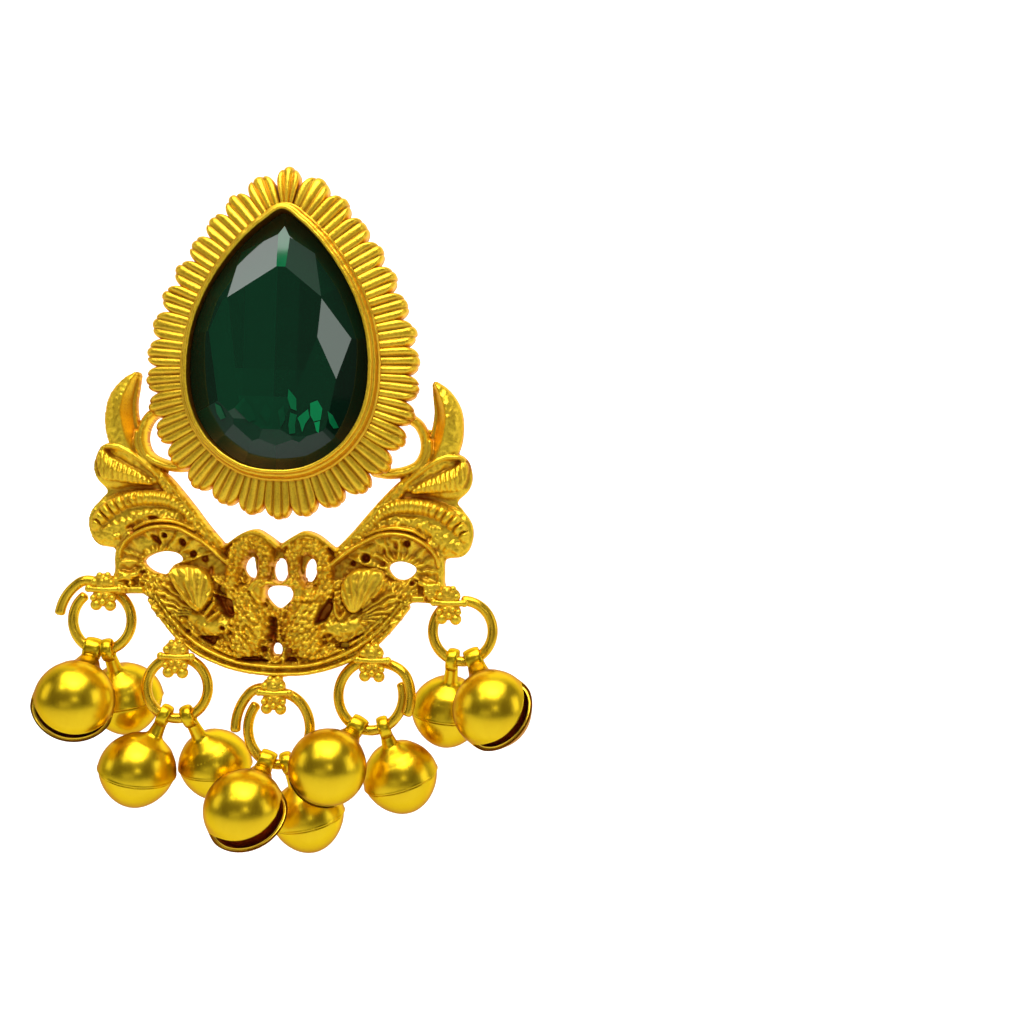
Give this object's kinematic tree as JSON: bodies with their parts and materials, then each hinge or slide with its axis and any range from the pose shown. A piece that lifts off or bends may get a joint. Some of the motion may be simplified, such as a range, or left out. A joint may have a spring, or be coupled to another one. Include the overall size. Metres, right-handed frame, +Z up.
{
  "type": "drop earring",
  "caption": "Gold-tone drop earring with a green pear stone in a ribbed petal border, a twin-peacock crest, jump rings and ghungroo bells.",
  "frame": {"origin": "the point where the ear post meets the back of the stone setting", "axes": "+Z up towards the tip of the setting, +Y to the back towards the ear, +X to the wearer's side seen right from the front"},
  "size_m": [0.0497, 0.0204, 0.07],
  "materials": {
    "cast_gold": "matte gilt cast metal with fine grain, darker in the recesses",
    "green_glass": "polished dark green, faceted",
    "post_metal": "polished gilt",
    "ring_gold": "polished gilt wire",
    "bell_gold": "satin brushed gilt"
  },
  "bodies": {
    "root": {"cast_frame": "cast_gold", "pear_stone": "green_glass", "ear_post": "post_metal", "jump_ring_1": "ring_gold", "jump_ring_2": "ring_gold", "jump_ring_3": "ring_gold", "jump_ring_4": "ring_gold", "jump_ring_5": "ring_gold", "bell_1_front": "bell_gold", "bell_1_back": "bell_gold", "bell_2_left": "bell_gold", "bell_2_right": "bell_gold", "bell_3_front": "bell_gold", "bell_3_back": "bell_gold", "bell_4_front": "bell_gold", "bell_4_back": "bell_gold", "bell_5_front": "bell_gold", "bell_5_back": "bell_gold"}
  },
  "joints": []
}
